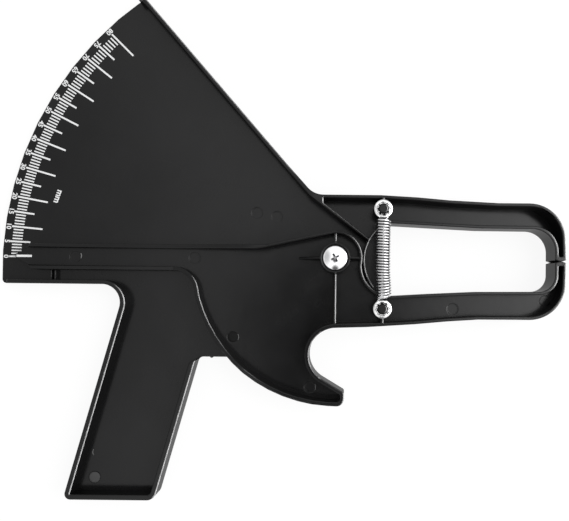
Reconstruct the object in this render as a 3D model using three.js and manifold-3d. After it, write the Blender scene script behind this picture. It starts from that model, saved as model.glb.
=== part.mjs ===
// Skinfold caliper with a pistol grip: a moulded body with scale fan, grip and upper jaw, and a
// moulded lever with pointer, trigger and lower jaw, turning on one screw and closed by a spring.
// Millimetres. The caliper lies on its back: X runs from the pivot towards the jaw tips,
// Y from the grip towards the top of the fan, Z from the back to the front.
// The origin is on the pivot axis, at the rear face of the barrel nut.
import * as THREE from "three";
import { mergeVertices } from "three/addons/utils/BufferGeometryUtils.js";
import Module from "manifold-3d";

// Depths and walls shared by the two mouldings

const webThickness = 2.5;
const bodyDepth = 11;
const jawDepth = 16;
const jawRim = 1.5;
const fanRim = 1.9;
const gripRim = 2.6;
const endBlock = 2.2; // solid end of each jaw behind its contact face
const overrun = 1; // how far a cut runs past the face it opens

// Scale fan: an arc, a sloping edge with a rim, and a level lower edge

const fanArcRadius = 168.1;
const fanArcCentreX = 0.4;
const fanArcCentreY = -6.9;
const slopeNormalAngle = 41.1; // degrees, direction square to the sloping edge
const slopeDistance = 12.1; // from the pivot axis
const fanDrop = 13.9; // lower edge below the pivot
const fanCornerRound = 2.2;
const apexRound = 4.4;

// Grip

const gripLean = 15.8; // degrees from upright
const gripBack = 102.8; // rear edge behind the pivot, at the fan's lower edge
const gripWidth = 44.9; // measured level
const gripDrop = 120.1;
const gripThroatRound = 9;
const gripHeelRound = 2.8;
const gripToeRound = 5;
const notchDrop = 49.9; // body edge behind the trigger, below the pivot
const notchRound = 3;

// Body hub, and the floor beside it that shows behind the spring

const bodyHubRadius = 27.5;
const bodyHubRay = -113; // degrees, edge that leaves room for the opening lower jaw
const ledgeReach = 23.8;
const ledgeDrop = 15.4;

// Jaws: their outlines follow the reach and the height of each jaw

const jawReach = 111.9;
const contactLength = 5.3; // contact faces, along the jaws
const windowReach = jawReach - contactLength;
const contactY = -0.75; // level of the closed contact faces
const contactGap = 0.1; // between the closed contact faces
const crownFlat = 1.6; // width of the flat in the middle of a contact face
const crownDrop = 0.65; // how far the ends of a contact face fall back
const jawSideLean = 1; // how far the outer edge leans in at its corner
const jawOuterRound = 17.6;

const upperJawRise = 30.5;
const upperTopShares = [[0.706, 0.892], [0.496, 0.928], [0.357, 0.97], [0.197, 1]];
const upperCornerShare = 0.895;
const upperWindowRise = 14.8;
const upperWindowShares = [[0.43, 1.074], [0.626, 1.007]];
const upperWindowRound = 11;

const lowerJawDrop = 34;
const lowerBottomShares = [[0.139, 0.985], [0.346, 0.938], [0.484, 0.894], [0.622, 0.862], [0.786, 0.859]];
const lowerCornerShare = 0.862;
const lowerWindowDrop = 15.5;
const lowerWindowShares = [[0.623, 1.026], [0.402, 1.11], [0.25, 1.18]];
const lowerWindowRound = 8;

// Walls that close the upper jaw's channel towards the hub

const endWallAngle = 52.8; // degrees, direction square to the sloping wall
const endWallDistance = 16.3; // its near face from the pivot axis
const endWall = 1.2;
const channelEnd = 7.7; // left end of the jaw's channel, behind the pivot
const channelEndWall = 1.7;
const plateauReach = 4; // right end of the raised corner, behind the pivot
const junctionRound = 10; // hollow between the fan's slope and the jaw
const rampLength = 20; // stretch of the sloping rim that climbs to the jaw's depth
const windowArcCentreX = 35.1;
const windowArcCentreY = -1;
const windowArcRadius = 21.6;
const windowArcWall = 0.8;
const windowArcDrop = 14.6;

// The fan's lower rim: it slopes down to the corner, and carries two ribs that stop the pointer arm

const rimEndReach = 161.3;
const rimEndRamp = 3.6;
const stopRibReach = 139.5;
const stopRibs = 2;
const stopRibPitch = 2.1;
const stopRibWidth = 0.8;
const stopRibHeight = 5.2;
const stopGap = 0.2;

// Lever

const leverWeb = 2.2;
const leverRim = 2;
const hubRim = 1.2;
const leverHubRadius = 13.2;
const leverHubTopAngle = 92.5; // degrees, where the hub runs into the sloping edge
const leverHubSideAngle = -14; // degrees, where the hub runs into the jaw's hollow
const armTop = 6;
const armBottom = 6.8;
const armReach = 150.5;
const armKneeReach = 33.5;
const armKneeRound = 10;
const armDepth = 9; // front of the pointer arm, above the back of the body
const armRampStart = 45;
const armRampEnd = 80;
const pointerReach = 159.6;
const pointerShoulder = 1.8; // beyond the arm's rims
const pointerShoulderShare = 0.72; // of the arm's half width
const pointerEndWidth = 1.4;
const jawHollowRound = 14.8;
const triggerRadius = 71.7;
const triggerCentreX = 0.5;
const triggerCentreY = -0.3;
const triggerTopRound = 11;
const triggerStartAngle = -164; // degrees about its centre
const triggerEndAngle = -93;
const hookTipReach = 5;
const hookTipDrop = 72.2;
const hookTipTop = 65.4; // top corner of the tip, below the pivot
const hookTipRound = 3.8;
const hookNoseRound = 1.2;
const hookCentreX = 1;
const hookRadius = 13.4;
const hookFootAngle = 239; // degrees about the hook's centre
const backRimLift = 0.3; // lower jaw's back rim above the plane that the body lies on
const backRimTop = 22.5; // inner left corner of the back rim, in front of the pivot
const backRimBottom = 18.5; // outer left corner

// Pivot: barrel nut from the back, screw and washer from the front

const barrelRadius = 3;
const runningGap = 0.08;
const nutHeadRadius = 5.5;
const nutHeadHeight = 1.2;
const seatGap = 0.15;
const thrustWasherRadius = 9;
const thrustWasherThickness = 0.6;
const thrustGap = 0.1;
const collarRadius = 7.4;
const collarWall = 0.9;
const collarTop = 15.2; // front of the collar and the ribs
const collarFloor = 12.3;
const barrelTop = 12.2;
const headWasherThickness = 0.5;
const headWasherRadius = 5.4;
const screwHeadRadius = 5.95;
const screwHeadHeight = 2.5;
const screwHeadEdge = 1.5;
const screwShankRadius = 1.95;
const screwTipHeight = 4;
const shankGap = 0.15;
const crossLength = 3.9;
const crossWidth = 0.95;
const crossDepth = 1.5;
const crossTurn = 28; // degrees
const ribWidth = 1.2;
const leftRibReach = 18;

// Spring, and the studs and star clips that hold its end loops

const studX = 23;
const upperStudY = 23.6;
const lowerStudY = -24.6;
const studRadius = 2.15;
const studBossRadius = 4.3;
const studRibEndShare = 0.85; // of the rim's width, from its outer side to the stud rib's end
const studBossTop = 16.2;
const studTop = 19.5;
const wireDiameter = 0.9;
const loopGap = 0.3; // round the wire of an end loop
const coilOuterDiameter = 6.86;
const coilTurns = 28;
const coilStandoff = 5.2; // from a stud's axis to the coil's end
const clipRadius = 4.5;
const clipThickness = 0.6;
const clipRingWidth = 1.3;
const clipTeeth = 8;
const clipToothShare = 0.62; // of the pitch between teeth

// Marks that the mould's ejector pins leave

const ejectorRadius = 2.75;
const ejectorDepth = 0.25;
const fanEjectorShares = [[-0.236, 0.135], [-0.176, 0.124]];
const armEjectorShares = [-0.862, -0.466];
const triggerEjectorShares = [[-0.708, -0.553], [-0.169, -0.896]];
const lowerJawEjectorShares = [[0.938, 0.591], [0.525, 0.724]];
const gripDiscRadius = 2.9;
const gripDiscHeight = 0.4;
const gripDiscInset = 9; // from the grip's lower edge
const gripDiscShare = 0.23; // of the grip's width, from its rear edge

// Fineness of round shapes

const arcStep = 6; // degrees
const roundSides = 48;
const curlSteps = 8;
const wireSides = 5;

const wasm = await Module();
wasm.setup();

const rad = (degrees) => (degrees * Math.PI) / 180;
const polar = (radius, degrees, x = 0, y = 0) => ({
  x: x + radius * Math.cos(rad(degrees)),
  y: y + radius * Math.sin(rad(degrees)),
});

// Solids: every piece is built as a manifold and turned into a mesh at the end

function solid(geometry) {
  const bare = geometry.index ? geometry.toNonIndexed() : geometry.clone();
  bare.deleteAttribute("normal");
  bare.deleteAttribute("uv");
  const merged = mergeVertices(bare, 1e-4);
  return new wasm.Manifold(
    new wasm.Mesh({
      numProp: 3,
      vertProperties: merged.attributes.position.array,
      triVerts: new Uint32Array(merged.index.array),
    }),
  );
}

const joined = (solids) => solids.reduce((whole, piece) => whole.add(piece));
const without = (whole, cuts) => cuts.reduce((rest, cut) => rest.subtract(cut), whole);

function meshOf(name, manifold, color, roughness, metalness) {
  const { numProp, vertProperties, triVerts } = manifold.getMesh();
  const positions = new Float32Array((vertProperties.length / numProp) * 3);
  for (let i = 0; i < positions.length / 3; i += 1) {
    positions.set(vertProperties.subarray(i * numProp, i * numProp + 3), i * 3);
  }
  const geometry = new THREE.BufferGeometry();
  geometry.setAttribute("position", new THREE.BufferAttribute(positions, 3));
  geometry.setIndex(new THREE.BufferAttribute(triVerts, 1));
  geometry.computeVertexNormals();
  const material = new THREE.MeshStandardMaterial({ color, roughness, metalness });
  const mesh = new THREE.Mesh(geometry, material);
  mesh.name = name;
  return mesh;
}

// Outlines: a list of corners, each with a rounding radius and the rim of the edge that leaves it

const corner = (x, y, round = 0, rim = undefined) => ({ x, y, round, rim });
const rimmed = (corners, rim) => corners.map((c) => ({ ...c, rim }));
const open = -overrun; // the rim of an edge that has none

function arcCorners(radius, from, to, x = 0, y = 0) {
  const steps = Math.max(2, Math.ceil(Math.abs(to - from) / arcStep));
  return Array.from({ length: steps + 1 }, (_, i) => {
    const at = polar(radius, from + ((to - from) * i) / steps, x, y);
    return corner(at.x, at.y);
  });
}

const scaledCorners = (shares, reach, height) => shares.map(([u, v]) => corner(u * reach, v * height));

function roundedPoints(corners) {
  const points = [];
  corners.forEach((c, i) => {
    const here = new THREE.Vector2(c.x, c.y);
    if (!c.round) {
      points.push(here);
      return;
    }
    const before = corners[(i + corners.length - 1) % corners.length];
    const after = corners[(i + 1) % corners.length];
    const back = new THREE.Vector2(before.x, before.y).sub(here).normalize();
    const on = new THREE.Vector2(after.x, after.y).sub(here).normalize();
    const half = Math.acos(THREE.MathUtils.clamp(back.dot(on), -1, 1)) / 2;
    const centre = back.clone().add(on).normalize().multiplyScalar(c.round / Math.sin(half)).add(here);
    const start = back.clone().multiplyScalar(c.round / Math.tan(half)).add(here).sub(centre);
    const turn = Math.PI - 2 * half;
    const sign = Math.sign(on.cross(back));
    const steps = Math.max(2, Math.ceil(turn / rad(arcStep)));
    for (let k = 0; k <= steps; k += 1) {
      points.push(start.clone().rotateAround(new THREE.Vector2(), (sign * turn * k) / steps).add(centre));
    }
  });
  return points;
}

// Moves each edge inwards by its own rim, so a channel follows its outline. Corners run anticlockwise.
function inset(corners) {
  const count = corners.length;
  const edges = corners.map((c, i) => {
    const next = corners[(i + 1) % count];
    const along = new THREE.Vector2(next.x - c.x, next.y - c.y).normalize();
    const inwards = new THREE.Vector2(-along.y, along.x);
    const point = new THREE.Vector2(c.x, c.y).addScaledVector(inwards, c.rim);
    return { along, point, rim: c.rim };
  });
  return corners.map((c, i) => {
    const before = edges[(i + count - 1) % count];
    const after = edges[i];
    const cross = before.along.cross(after.along);
    const meet = after.point.clone();
    if (Math.abs(cross) > 1e-3) {
      const gap = after.point.clone().sub(before.point);
      meet.copy(before.point).addScaledVector(before.along, gap.cross(after.along) / cross);
    }
    const rim = (before.rim + after.rim) / 2;
    const round = c.round ? Math.max(c.round - Math.sign(cross) * rim, 0) : 0;
    return corner(meet.x, meet.y, round);
  });
}

function prism(corners, low, high) {
  const shape = new THREE.Shape(roundedPoints(corners));
  const geometry = new THREE.ExtrudeGeometry(shape, { depth: high - low, bevelEnabled: false });
  return solid(geometry.translate(0, 0, low));
}

// A bar between two places in the plane, as wide and high as given
function bar(from, to, width, low, high) {
  const along = new THREE.Vector2(to.x - from.x, to.y - from.y);
  const geometry = new THREE.BoxGeometry(along.length(), width, high - low);
  geometry.rotateZ(along.angle());
  geometry.translate((from.x + to.x) / 2, (from.y + to.y) / 2, (low + high) / 2);
  return solid(geometry);
}

// A solid as wide as given along Y, from a profile of places along X and heights
function crosswise(profile, from, to) {
  const shape = new THREE.Shape(profile.map(([x, z]) => new THREE.Vector2(x, z)));
  const geometry = new THREE.ExtrudeGeometry(shape, { depth: to - from, bevelEnabled: false });
  geometry.rotateX(Math.PI / 2);
  return solid(geometry.translate(0, to, 0));
}

// A round solid about an upright axis, from a closed profile of radius and height
function turned(profile, x = 0, y = 0, sides = roundSides) {
  const points = profile.map(([radius, height]) => new THREE.Vector2(radius, height));
  const geometry = new THREE.LatheGeometry([...points, points[0].clone()], sides);
  geometry.rotateX(Math.PI / 2);
  return solid(geometry.translate(x, y, 0));
}

const disc = (radius, low, high, x = 0, y = 0, sides = roundSides) =>
  turned([[0, low], [radius, low], [radius, high], [0, high]], x, y, sides);

// Body outline and solids

const lean = Math.tan(rad(gripLean));
const gripEdgeX = (reach, y) => -reach + (y + fanDrop) * lean;
const slope = polar(1, slopeNormalAngle);
const slopeX = (y, inside = 0) => (slopeDistance - inside - y * slope.y) / slope.x;

function fanCorners() {
  const centreToSlope = slopeDistance - (fanArcCentreX * slope.x + fanArcCentreY * slope.y);
  const apexAngle = slopeNormalAngle + THREE.MathUtils.radToDeg(Math.acos(centreToSlope / fanArcRadius));
  const footAngle = 180 + THREE.MathUtils.radToDeg(Math.asin((fanDrop + fanArcCentreY) / fanArcRadius));
  const arc = arcCorners(fanArcRadius, apexAngle, footAngle, fanArcCentreX, fanArcCentreY);
  arc[0].round = apexRound;
  arc.at(-1).round = fanCornerRound;
  return [...rimmed(arc.slice(0, -1), open), ...rimmed(arc.slice(-1), fanRim)];
}

function bodyCorners() {
  const notch = corner(gripEdgeX(gripBack - gripWidth, -notchDrop), -notchDrop, notchRound, open);
  const rayEnd = polar(notchDrop / Math.cos(rad(bodyHubRay + 90)), bodyHubRay);
  const ledgeAngle = -THREE.MathUtils.radToDeg(Math.asin(ledgeDrop / bodyHubRadius));
  const hub = arcCorners(bodyHubRadius, bodyHubRay, ledgeAngle);
  return [
    corner(gripEdgeX(gripBack, -gripDrop), -gripDrop, gripHeelRound, gripRim),
    corner(gripEdgeX(gripBack - gripWidth, -gripDrop), -gripDrop, gripToeRound, gripRim),
    notch,
    corner(rayEnd.x, rayEnd.y, 0, open),
    ...rimmed(hub, open),
    corner(ledgeReach, -ledgeDrop, 0, open),
    corner(ledgeReach, windowTop(ledgeReach) + jawRim / 2, 0, open),
    corner(0, upperJawRise - jawRim, 0, open),
    corner(slopeX(upperJawRise - jawRim / 2), upperJawRise - jawRim / 2, 0, fanRim),
    ...fanCorners(),
    corner(-gripBack, -fanDrop, gripThroatRound, gripRim),
  ];
}

// Height of the window's upper edge above the contact level, at a place along the jaw
function windowTop(x) {
  const [[u0, v0], [u1, v1]] = upperWindowShares;
  const share = v0 + ((v1 - v0) * (x / jawReach - u0)) / (u1 - u0);
  return share * upperWindowRise;
}

// The edge of a jaw from the window to the outside, round its contact face; side is 1 above, -1 below
function contactCorners(side) {
  const face = contactY + (side * contactGap) / 2;
  const middle = (windowReach + jawReach) / 2;
  return [
    corner(windowReach, face + side * crownDrop),
    corner(middle - crownFlat / 2, face),
    corner(middle + crownFlat / 2, face),
    corner(jawReach, face + side * crownDrop),
  ];
}

function endWallCross(distance, radius) {
  const normal = polar(1, endWallAngle);
  const along = new THREE.Vector2(normal.y, -normal.x);
  const foot = new THREE.Vector2(normal.x, normal.y).multiplyScalar(distance);
  const toFoot = foot.clone().sub(new THREE.Vector2(windowArcCentreX, windowArcCentreY));
  const b = toFoot.dot(along);
  const reach = -b - Math.sqrt(b * b - toFoot.lengthSq() + radius * radius);
  return foot.addScaledVector(along, reach);
}

const arcAngle = (p) =>
  (THREE.MathUtils.radToDeg(Math.atan2(p.y - windowArcCentreY, p.x - windowArcCentreX)) + 360) % 360;

// Upper jaw: the channel from its closed end near the hub to the contact face
function upperJawCorners() {
  const inner = windowArcRadius - windowArcWall;
  const start = endWallCross(endWallDistance, inner);
  const jawTopAngle = arcAngle({
    x: windowArcCentreX - Math.sqrt(inner ** 2 - (windowTop(ledgeReach) - windowArcCentreY) ** 2),
    y: windowTop(ledgeReach),
  });
  const arc = arcCorners(inner, arcAngle(start), jawTopAngle, windowArcCentreX, windowArcCentreY);
  const endWallTop = (endWallDistance + channelEnd * Math.cos(rad(endWallAngle))) / Math.sin(rad(endWallAngle));
  const window = scaledCorners(upperWindowShares, jawReach, upperWindowRise);
  const contact = contactCorners(1);
  return [
    ...rimmed(arc, windowArcWall).slice(0, -1),
    ...rimmed(arc.slice(-1), jawRim),
    ...rimmed(window, jawRim),
    corner(windowReach, upperWindowRise, upperWindowRound, jawRim),
    ...rimmed(contact.slice(0, 3), endBlock),
    ...rimmed(contact.slice(3), jawRim),
    corner(jawReach - jawSideLean, upperCornerShare * upperJawRise, jawOuterRound, jawRim),
    ...rimmed(scaledCorners(upperTopShares, jawReach, upperJawRise), jawRim),
    corner(-channelEnd, upperJawRise, 0, channelEndWall),
    corner(-channelEnd, endWallTop, 0, endWall),
  ];
}

// Raised corner between the fan's slope and the upper jaw, with the stretch of rim that climbs to it
function plateau() {
  const rampTopY = upperJawRise + rampLength * slope.x;
  const innerY = (y) => y - fanRim * slope.y;
  const wallFoot = new THREE.Vector2();
  const normal = polar(1, endWallAngle);
  const cross = slope.x * normal.y - slope.y * normal.x;
  wallFoot.x = ((slopeDistance - fanRim) * normal.y - slope.y * endWallDistance) / cross;
  wallFoot.y = (slope.x * endWallDistance - (slopeDistance - fanRim) * normal.x) / cross;
  const wallTopY = (endWallDistance + plateauReach * normal.x) / normal.y;
  const block = prism(
    [
      corner(-plateauReach, wallTopY),
      corner(-plateauReach, upperJawRise),
      corner(slopeX(upperJawRise), upperJawRise, junctionRound),
      corner(slopeX(rampTopY), rampTopY),
      corner(slopeX(innerY(rampTopY), fanRim), innerY(rampTopY)),
      corner(wallFoot.x, wallFoot.y),
    ],
    0,
    jawDepth,
  );
  const rise = jawDepth - bodyDepth;
  const climb = [
    [0, rise],
    [rampLength + overrun, rise + overrun],
    [rampLength + overrun, 0],
    [rampLength, 0],
  ];
  const wedge = crosswise(climb, -gripThroatRound, gripThroatRound)
    .rotate([0, 0, slopeNormalAngle + 90])
    .translate([slopeX(upperJawRise), upperJawRise, bodyDepth]);
  return block.subtract(wedge);
}

// Thin curved wall that ends the jaws' window, down to where the lever's edge passes it
function windowArcWallSolid() {
  const inner = windowArcRadius - windowArcWall;
  const from = arcAngle(endWallCross(endWallDistance, windowArcRadius)) - arcStep / 2;
  const to = 180 + THREE.MathUtils.radToDeg(Math.asin((windowArcDrop + windowArcCentreY) / windowArcRadius));
  const outside = arcCorners(windowArcRadius, from, to, windowArcCentreX, windowArcCentreY);
  const inside = arcCorners(inner, to, from, windowArcCentreX, windowArcCentreY);
  return prism([...outside, ...inside], 0, jawDepth);
}

// A boss with a stud, and the rib that ties it to the rim behind it
function studParts(y, side, low) {
  const rimY = side * ((side > 0 ? upperJawRise : lowerJawDrop) - studRibEndShare * jawRim);
  return [
    disc(studBossRadius, low, studBossTop, studX, y),
    disc(studRadius, low, studTop, studX, y),
    bar({ x: studX, y }, { x: studX, y: rimY }, ribWidth, low, jawDepth),
  ];
}

// Takes the end of the fan's lower rim down to the web
function rimEndCutter() {
  return crosswise(
    [
      [-rimEndReach, bodyDepth],
      [-rimEndReach, bodyDepth + overrun],
      [-fanArcRadius - overrun, bodyDepth + overrun],
      [-fanArcRadius - overrun, webThickness],
      [-rimEndReach - rimEndRamp, webThickness],
    ],
    -fanDrop - overrun,
    -fanDrop + fanRim + overrun,
  );
}

function stopRibSolids() {
  return Array.from({ length: stopRibs }, (_, i) => {
    const x = -stopRibReach - stopRibWidth / 2 - i * stopRibPitch;
    return bar(
      { x, y: -fanDrop + fanRim / 2 },
      { x, y: -armBottom - stopGap },
      stopRibWidth,
      0,
      stopRibHeight,
    );
  });
}

const pinMark = (x, y, floor) => disc(ejectorRadius, floor - ejectorDepth, floor + overrun, x, y, roundSides / 2);

function bodySolid() {
  const corners = bodyCorners();
  const jaw = upperJawCorners();
  const plate = prism(corners, 0, bodyDepth).subtract(
    prism(inset(corners), webThickness, bodyDepth + overrun),
  );
  const raised = joined([prism(jaw, 0, jawDepth), plateau()]).subtract(
    prism(inset(jaw), webThickness, jawDepth + overrun),
  );
  const discPlace = {
    x: gripEdgeX(gripBack - gripDiscShare * gripWidth, -gripDrop + gripDiscInset),
    y: -gripDrop + gripDiscInset,
  };
  const gripDisc = disc(
    gripDiscRadius,
    0,
    webThickness + gripDiscHeight,
    discPlace.x,
    discPlace.y,
    roundSides / 2,
  );
  const whole = joined([
    plate,
    raised,
    windowArcWallSolid(),
    ...stopRibSolids(),
    gripDisc,
    ...studParts(upperStudY, 1, 0),
  ]);
  return without(whole, [
    rimEndCutter(),
    disc(barrelRadius + seatGap, -overrun, webThickness + overrun),
    disc(nutHeadRadius + seatGap, -overrun, nutHeadHeight + seatGap),
    ...fanEjectorShares.map(([u, v]) => pinMark(u * fanArcRadius, v * fanArcRadius, webThickness)),
  ]);
}

// Lever outline and solids

const leverBack = webThickness + thrustWasherThickness + 2 * thrustGap;
const leverFloor = leverBack + leverWeb;

function lowerJawCorners() {
  const contact = contactCorners(-1).reverse();
  return [
    ...rimmed(scaledCorners(lowerBottomShares, jawReach, -lowerJawDrop), jawRim),
    corner(jawReach - jawSideLean / 2, -lowerCornerShare * lowerJawDrop, jawOuterRound, jawRim),
    ...rimmed(contact.slice(0, 3), endBlock),
    ...rimmed(contact.slice(3), jawRim),
    corner(windowReach, -lowerWindowDrop, lowerWindowRound, jawRim),
    ...rimmed(scaledCorners(lowerWindowShares, jawReach, -lowerWindowDrop), jawRim),
  ];
}

function pointerCorners() {
  const top = pointerShoulderShare * armTop;
  const bottom = pointerShoulderShare * armBottom;
  return [
    corner(-armReach, armTop),
    corner(-armReach - pointerShoulder, top),
    corner(-pointerReach, pointerEndWidth / 2),
    corner(-pointerReach, -pointerEndWidth / 2),
    corner(-armReach - pointerShoulder, -bottom),
  ];
}

function leverCorners() {
  const hookCentreY = -lowerJawDrop - hookRadius;
  const hollowX = leverHubRadius * Math.cos(rad(leverHubSideAngle));
  const hollowY = -lowerWindowShares.at(-1)[1] * lowerWindowDrop;
  const hub = arcCorners(leverHubRadius, leverHubSideAngle, leverHubTopAngle);
  const triggerTopX = triggerCentreX - Math.sqrt(triggerRadius ** 2 - (armBottom + triggerCentreY) ** 2);
  return [
    corner(-armReach, -armBottom, 0, leverRim),
    corner(triggerTopX, -armBottom, triggerTopRound, leverRim),
    ...rimmed(
      arcCorners(triggerRadius, triggerStartAngle, triggerEndAngle, triggerCentreX, triggerCentreY),
      leverRim,
    ),
    corner(hookTipReach, -hookTipDrop, hookTipRound, leverRim),
    corner(hookTipReach, -hookTipTop, hookNoseRound, leverRim),
    ...rimmed(arcCorners(hookRadius, hookFootAngle, 90, hookCentreX, hookCentreY), leverRim),
    ...lowerJawCorners(),
    corner(hollowX, hollowY, jawHollowRound, hubRim),
    ...rimmed(hub, hubRim),
    corner(-armKneeReach, armTop, armKneeRound, leverRim),
    ...rimmed(pointerCorners(), open),
  ];
}

function backRimCorners() {
  const bottomLeft = corner(backRimBottom, -lowerBottomShares[0][1] * lowerJawDrop, 0, jawRim);
  const topLeft = corner(backRimTop, -lowerWindowShares.at(-1)[1] * lowerWindowDrop, 0, jawRim);
  return [bottomLeft, ...lowerJawCorners().slice(1), topLeft];
}

// Takes the front of the pointer arm down to its own depth, with a ramp beside the trigger
function armCutter() {
  return crosswise(
    [
      [-armRampStart, jawDepth],
      [-armRampStart, jawDepth + overrun],
      [-pointerReach - overrun, jawDepth + overrun],
      [-pointerReach - overrun, armDepth],
      [-armRampEnd, armDepth],
    ],
    -triggerRadius,
    triggerRadius,
  );
}

// Rib beside the collar that falls away to the web as it leaves the hub
function gusset() {
  return crosswise(
    [
      [-leftRibReach, leverBack],
      [-leftRibReach, leverFloor + ribWidth / 2],
      [-collarRadius, collarTop],
      [-barrelRadius - collarWall, collarFloor],
      [-barrelRadius - collarWall, leverBack],
    ],
    -ribWidth / 2,
    ribWidth / 2,
  );
}

function leverSolid() {
  const corners = leverCorners();
  const backRim = backRimCorners();
  const shell = prism(corners, leverBack, jawDepth).subtract(
    prism(inset(corners), leverFloor, jawDepth + overrun),
  );
  const rimBars = [
    bar({ x: 0, y: 0 }, { x: 0, y: leverHubRadius - hubRim / 2 }, ribWidth, leverBack, collarTop),
    bar({ x: 0, y: 0 }, { x: leverHubRadius - hubRim / 2, y: 0 }, ribWidth, leverBack, collarTop),
    bar({ x: 0, y: 0 }, { x: 0, y: leverRim / 2 - lowerJawDrop }, ribWidth, leverBack, collarTop),
  ];
  const whole = joined([
    shell,
    prism(backRim, backRimLift, leverFloor).subtract(prism(inset(backRim), 0, leverBack)),
    disc(collarRadius, leverBack, collarTop),
    gusset(),
    ...rimBars,
    ...studParts(lowerStudY, -1, leverBack),
  ]);
  const armMiddle = (armTop - armBottom) / 2;
  return without(whole, [
    armCutter(),
    disc(barrelRadius + runningGap, leverBack - overrun, collarTop + overrun),
    disc(collarRadius - collarWall, collarFloor, collarTop + overrun),
    ...armEjectorShares.map((u) => pinMark(u * armReach, armMiddle, leverFloor)),
    ...triggerEjectorShares.map(([u, v]) => pinMark(u * triggerRadius, v * triggerRadius, leverFloor)),
    ...lowerJawEjectorShares.map(([u, v]) => pinMark(u * jawReach, -v * lowerJawDrop, leverFloor)),
  ]);
}

// Pivot hardware

function barrelNut() {
  const bore = screwShankRadius + shankGap;
  return turned([
    [0, 0],
    [nutHeadRadius, 0],
    [nutHeadRadius, nutHeadHeight],
    [barrelRadius, nutHeadHeight],
    [barrelRadius, barrelTop],
    [bore, barrelTop],
    [bore, screwTipHeight - shankGap],
    [0, screwTipHeight - shankGap],
  ]);
}

const washer = (inner, outer, low, thickness) =>
  turned([
    [inner, low],
    [outer, low],
    [outer, low + thickness],
    [inner, low + thickness],
  ]);

const headSeat = collarFloor + thrustGap + headWasherThickness + thrustGap;

function screw() {
  const rise = screwHeadHeight - screwHeadEdge;
  const domeRadius = (screwHeadRadius ** 2 + rise ** 2) / (2 * rise);
  const spread = THREE.MathUtils.radToDeg(Math.asin(screwHeadRadius / domeRadius));
  const top = headSeat + screwHeadHeight;
  const dome = Array.from({ length: 5 }, (_, i) => {
    const at = polar(domeRadius, 90 - spread + (spread * (i + 1)) / 6, 0, top - domeRadius);
    return [at.x, at.y];
  });
  const body = turned([
    [0, screwTipHeight],
    [screwShankRadius, screwTipHeight],
    [screwShankRadius, headSeat],
    [screwHeadRadius, headSeat],
    [screwHeadRadius, headSeat + screwHeadEdge],
    ...dome,
    [0, top],
  ]);
  const arms = [crossTurn, crossTurn + 90].map((angle) =>
    bar(
      polar(crossLength / 2, angle),
      polar(crossLength / 2, angle + 180),
      crossWidth,
      top - crossDepth,
      top + overrun,
    ),
  );
  return without(body, arms);
}

// Star clip: a flat ring whose inner teeth grip the stud over the spring's end loop

const loopHeight = studBossTop + loopGap + wireDiameter / 2;
const clipBottom = loopHeight + wireDiameter / 2 + loopGap;

function starClip(y) {
  const tip = studRadius + loopGap;
  const root = clipRadius - clipRingWidth;
  const pitch = 360 / clipTeeth;
  const shape = new THREE.Shape(
    roundedPoints(arcCorners(clipRadius, 0, 360).slice(0, -1)),
  );
  const star = Array.from({ length: clipTeeth }, (_, i) => {
    const toothHalf = (pitch * clipToothShare) / 2;
    return [
      polar(root, (i - 0.5) * pitch),
      polar(root, i * pitch - toothHalf),
      polar(tip, i * pitch - toothHalf),
      polar(tip, i * pitch),
      polar(tip, i * pitch + toothHalf),
      polar(root, i * pitch + toothHalf),
    ];
  }).flat();
  shape.holes.push(new THREE.Path(star.map((p) => new THREE.Vector2(p.x, p.y))));
  const geometry = new THREE.ExtrudeGeometry(shape, { depth: clipThickness, bevelEnabled: false });
  return solid(geometry.translate(studX, y, clipBottom));
}

// Spring: close curls between two end loops, one unbroken wire

function springRoute() {
  const coilRadius = (coilOuterDiameter - wireDiameter) / 2;
  const loopRadius = studRadius + loopGap + wireDiameter / 2;
  const coilTop = upperStudY - coilStandoff;
  const coilBottom = lowerStudY + coilStandoff;
  const loopSweep = 300;
  const settleSweep = 150;
  const loopSteps = Math.round(loopSweep / 15);
  const loop = (studY, side) =>
    Array.from({ length: loopSteps }, (_, i) => {
      const swept = (loopSweep * (i + 1)) / loopSteps;
      const ease = THREE.MathUtils.smoothstep(swept, 0, settleSweep);
      const radius = THREE.MathUtils.lerp(coilStandoff, loopRadius, ease);
      const at = polar(radius, side * 90 + swept, studX, studY);
      return new THREE.Vector3(at.x, at.y, loopHeight);
    });
  const curls = Array.from({ length: coilTurns * curlSteps + 1 }, (_, i) => {
    const turn = (-2 * Math.PI * i) / curlSteps;
    return new THREE.Vector3(
      studX + coilRadius * Math.sin(turn),
      THREE.MathUtils.lerp(coilTop, coilBottom, i / (coilTurns * curlSteps)),
      loopHeight + coilRadius * (1 - Math.cos(turn)),
    );
  });
  const route = [...loop(upperStudY, -1).reverse(), ...curls, ...loop(lowerStudY, 1)];
  const tail = (end, before) => end.clone().sub(before).setLength(wireDiameter).add(end);
  return [tail(route[0], route[1]), ...route, tail(route.at(-1), route.at(-2))];
}

// Least clear space between stretches of the wire that aren't neighbours along it
function leastGap(route) {
  let least = Infinity;
  const travelled = [0];
  route.slice(1).forEach((p, i) => travelled.push(travelled[i] + p.distanceTo(route[i])));
  for (let i = 0; i < route.length; i += 1) {
    for (let k = i + 1; k < route.length; k += 1) {
      if (travelled[k] - travelled[i] > 4 * wireDiameter) {
        least = Math.min(least, route[i].distanceTo(route[k]) - wireDiameter);
      }
    }
  }
  return least;
}

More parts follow.
